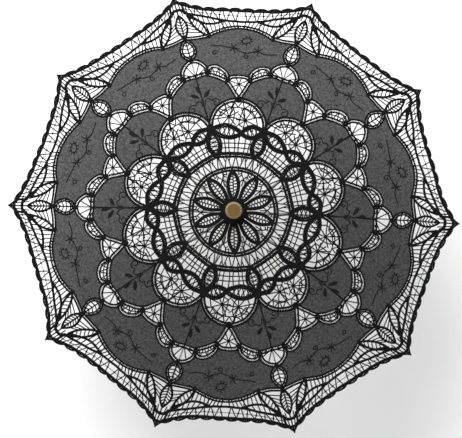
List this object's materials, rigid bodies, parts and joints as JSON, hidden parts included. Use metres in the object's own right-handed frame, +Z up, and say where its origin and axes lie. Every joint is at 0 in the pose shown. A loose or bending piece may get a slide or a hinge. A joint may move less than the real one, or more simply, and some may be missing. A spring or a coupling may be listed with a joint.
{
  "type": "lace parasol",
  "caption": "Folding parasol with a tape-lace canopy on curved ribs, held by a turned wooden stick with a runner, catches and a knob on top.",
  "frame": {"origin": "on the shaft's axis in the middle of the handle's grip", "axes": "+Z up the shaft to the finial, +X along the first rib"},
  "size_m": [0.8006, 0.7616, 0.68],
  "materials": {
    "shaft_wood": "stained and varnished",
    "handle_wood": "turned, stained and varnished",
    "finial_wood": "turned and varnished",
    "collar_brass": "polished",
    "washer_steel": "black enamel",
    "crown_lace": "matte black cotton",
    "notch_metal": "black enamel",
    "wire_steel": "drawn",
    "pin_steel": "drawn",
    "catch_steel": "spring steel",
    "runner_metal": "black enamel",
    "rib_steel": "black enamel",
    "tip_metal": "black enamel",
    "stretcher_steel": "black enamel",
    "canopy_lace": "matte black cotton tape lace"
  },
  "bodies": {
    "stick": {"shaft": "shaft_wood", "handle": "handle_wood", "handle_collar": "collar_brass", "finial": "finial_wood", "crown_washer": "washer_steel", "crown_rosette": "crown_lace", "crown_notch": "notch_metal", "crown_ring_wire": "wire_steel", "catch_pins": "pin_steel", "runner_stop_pin": "pin_steel"},
    "top_catch": {"top_catch": "catch_steel"},
    "low_catch": {"low_catch": "catch_steel"},
    "runner": {"runner": "runner_metal", "runner_ring_wire": "wire_steel"},
    "rib_01": {"rib_01": "rib_steel", "rib_tip_01": "tip_metal", "lace_gore_01": "canopy_lace"},
    "stretcher_01": {"stretcher_01": "stretcher_steel"},
    "rib_02": {"rib_02": "rib_steel", "rib_tip_02": "tip_metal", "lace_gore_02": "canopy_lace"},
    "stretcher_02": {"stretcher_02": "stretcher_steel"},
    "rib_03": {"rib_03": "rib_steel", "rib_tip_03": "tip_metal", "lace_gore_03": "canopy_lace"},
    "stretcher_03": {"stretcher_03": "stretcher_steel"},
    "rib_04": {"rib_04": "rib_steel", "rib_tip_04": "tip_metal", "lace_gore_04": "canopy_lace"},
    "stretcher_04": {"stretcher_04": "stretcher_steel"},
    "rib_05": {"rib_05": "rib_steel", "rib_tip_05": "tip_metal", "lace_gore_05": "canopy_lace"},
    "stretcher_05": {"stretcher_05": "stretcher_steel"},
    "rib_06": {"rib_06": "rib_steel", "rib_tip_06": "tip_metal", "lace_gore_06": "canopy_lace"},
    "stretcher_06": {"stretcher_06": "stretcher_steel"},
    "rib_07": {"rib_07": "rib_steel", "rib_tip_07": "tip_metal", "lace_gore_07": "canopy_lace"},
    "stretcher_07": {"stretcher_07": "stretcher_steel"},
    "rib_08": {"rib_08": "rib_steel", "rib_tip_08": "tip_metal", "lace_gore_08": "canopy_lace"},
    "stretcher_08": {"stretcher_08": "stretcher_steel"},
    "rib_09": {"rib_09": "rib_steel", "rib_tip_09": "tip_metal", "lace_gore_09": "canopy_lace"},
    "stretcher_09": {"stretcher_09": "stretcher_steel"},
    "rib_10": {"rib_10": "rib_steel", "rib_tip_10": "tip_metal", "lace_gore_10": "canopy_lace"},
    "stretcher_10": {"stretcher_10": "stretcher_steel"}
  },
  "joints": [
    {"name": "canopy_fold", "type": "hinge", "parent": "stick", "child": "rib_01", "pos_m": [0.0095, 0, 0.578], "axis": [0, 1, 0], "range_deg": [0, 66.78], "deforming": ["lace_gore_01", "lace_gore_02", "lace_gore_03", "lace_gore_04", "lace_gore_05", "lace_gore_06", "lace_gore_07", "lace_gore_08", "lace_gore_09", "lace_gore_10", "top_catch", "low_catch"]},
    {"name": "rib_02_fold", "type": "hinge", "parent": "stick", "child": "rib_02", "pos_m": [0.00769, 0.00558, 0.578], "axis": [-0.5878, 0.809, 0], "range_deg": [0, 66.78]},
    {"name": "rib_03_fold", "type": "hinge", "parent": "stick", "child": "rib_03", "pos_m": [0.00294, 0.00903, 0.578], "axis": [-0.9511, 0.309, 0], "range_deg": [0, 66.78]},
    {"name": "rib_04_fold", "type": "hinge", "parent": "stick", "child": "rib_04", "pos_m": [-0.00294, 0.00903, 0.578], "axis": [-0.9511, -0.309, 0], "range_deg": [0, 66.78]},
    {"name": "rib_05_fold", "type": "hinge", "parent": "stick", "child": "rib_05", "pos_m": [-0.00769, 0.00558, 0.578], "axis": [-0.5878, -0.809, 0], "range_deg": [0, 66.78]},
    {"name": "rib_06_fold", "type": "hinge", "parent": "stick", "child": "rib_06", "pos_m": [-0.0095, 0, 0.578], "axis": [0, -1, 0], "range_deg": [0, 66.78]},
    {"name": "rib_07_fold", "type": "hinge", "parent": "stick", "child": "rib_07", "pos_m": [-0.00769, -0.00558, 0.578], "axis": [0.5878, -0.809, 0], "range_deg": [0, 66.78]},
    {"name": "rib_08_fold", "type": "hinge", "parent": "stick", "child": "rib_08", "pos_m": [-0.00294, -0.00903, 0.578], "axis": [0.9511, -0.309, 0], "range_deg": [0, 66.78]},
    {"name": "rib_09_fold", "type": "hinge", "parent": "stick", "child": "rib_09", "pos_m": [0.00294, -0.00903, 0.578], "axis": [0.9511, 0.309, 0], "range_deg": [0, 66.78]},
    {"name": "rib_10_fold", "type": "hinge", "parent": "stick", "child": "rib_10", "pos_m": [0.00769, -0.00558, 0.578], "axis": [0.5878, 0.809, 0], "range_deg": [0, 66.78]},
    {"name": "stretcher_01_swing", "type": "hinge", "parent": "rib_01", "child": "stretcher_01", "pos_m": [0.20032, 0, 0.52571], "axis": [0, 1, 0], "range_deg": [-133.58, 0]},
    {"name": "stretcher_02_swing", "type": "hinge", "parent": "rib_02", "child": "stretcher_02", "pos_m": [0.16206, 0.11774, 0.52571], "axis": [-0.5878, 0.809, 0], "range_deg": [-133.58, 0]},
    {"name": "stretcher_03_swing", "type": "hinge", "parent": "rib_03", "child": "stretcher_03", "pos_m": [0.0619, 0.19051, 0.52571], "axis": [-0.9511, 0.309, 0], "range_deg": [-133.58, 0]},
    {"name": "stretcher_04_swing", "type": "hinge", "parent": "rib_04", "child": "stretcher_04", "pos_m": [-0.0619, 0.19051, 0.52571], "axis": [-0.9511, -0.309, 0], "range_deg": [-133.58, 0]},
    {"name": "stretcher_05_swing", "type": "hinge", "parent": "rib_05", "child": "stretcher_05", "pos_m": [-0.16206, 0.11774, 0.52571], "axis": [-0.5878, -0.809, 0], "range_deg": [-133.58, 0]},
    {"name": "stretcher_06_swing", "type": "hinge", "parent": "rib_06", "child": "stretcher_06", "pos_m": [-0.20032, 0, 0.52571], "axis": [0, -1, 0], "range_deg": [-133.58, 0]},
    {"name": "stretcher_07_swing", "type": "hinge", "parent": "rib_07", "child": "stretcher_07", "pos_m": [-0.16206, -0.11774, 0.52571], "axis": [0.5878, -0.809, 0], "range_deg": [-133.58, 0]},
    {"name": "stretcher_08_swing", "type": "hinge", "parent": "rib_08", "child": "stretcher_08", "pos_m": [-0.0619, -0.19051, 0.52571], "axis": [0.9511, -0.309, 0], "range_deg": [-133.58, 0]},
    {"name": "stretcher_09_swing", "type": "hinge", "parent": "rib_09", "child": "stretcher_09", "pos_m": [0.0619, -0.19051, 0.52571], "axis": [0.9511, 0.309, 0], "range_deg": [-133.58, 0]},
    {"name": "stretcher_10_swing", "type": "hinge", "parent": "rib_10", "child": "stretcher_10", "pos_m": [0.16206, -0.11774, 0.52571], "axis": [0.5878, 0.809, 0], "range_deg": [-133.58, 0]},
    {"name": "runner_on_stretcher", "type": "hinge", "parent": "stretcher_01", "child": "runner", "pos_m": [0.0095, 0, 0.47341], "axis": [0, 1, 0], "range_deg": [0, 66.79]},
    {"name": "top_catch_press", "type": "hinge", "parent": "stick", "child": "top_catch", "pos_m": [0.00365, 0, 0.39101], "axis": [0, -1, 0], "range_deg": [0, 7.5], "stiffness_Nm_per_rad": 0.6, "springref_deg": -2.86},
    {"name": "low_catch_press", "type": "hinge", "parent": "stick", "child": "low_catch", "pos_m": [0.00365, 0, 0.16044], "axis": [0, 1, 0], "range_deg": [0, 7.5], "stiffness_Nm_per_rad": 0.6, "springref_deg": -2.86}
  ],
  "couplings": [
    {"joint": "rib_02_fold", "follows": "canopy_fold", "ratio": 1},
    {"joint": "rib_03_fold", "follows": "canopy_fold", "ratio": 1},
    {"joint": "rib_04_fold", "follows": "canopy_fold", "ratio": 1},
    {"joint": "rib_05_fold", "follows": "canopy_fold", "ratio": 1},
    {"joint": "rib_06_fold", "follows": "canopy_fold", "ratio": 1},
    {"joint": "rib_07_fold", "follows": "canopy_fold", "ratio": 1},
    {"joint": "rib_08_fold", "follows": "canopy_fold", "ratio": 1},
    {"joint": "rib_09_fold", "follows": "canopy_fold", "ratio": 1},
    {"joint": "rib_10_fold", "follows": "canopy_fold", "ratio": 1},
    {"joint": "stretcher_01_swing", "follows": "canopy_fold", "ratio": -2},
    {"joint": "stretcher_02_swing", "follows": "canopy_fold", "ratio": -2},
    {"joint": "stretcher_03_swing", "follows": "canopy_fold", "ratio": -2},
    {"joint": "stretcher_04_swing", "follows": "canopy_fold", "ratio": -2},
    {"joint": "stretcher_05_swing", "follows": "canopy_fold", "ratio": -2},
    {"joint": "stretcher_06_swing", "follows": "canopy_fold", "ratio": -2},
    {"joint": "stretcher_07_swing", "follows": "canopy_fold", "ratio": -2},
    {"joint": "stretcher_08_swing", "follows": "canopy_fold", "ratio": -2},
    {"joint": "stretcher_09_swing", "follows": "canopy_fold", "ratio": -2},
    {"joint": "stretcher_10_swing", "follows": "canopy_fold", "ratio": -2},
    {"joint": "runner_on_stretcher", "follows": "canopy_fold", "ratio": 1}
  ]
}
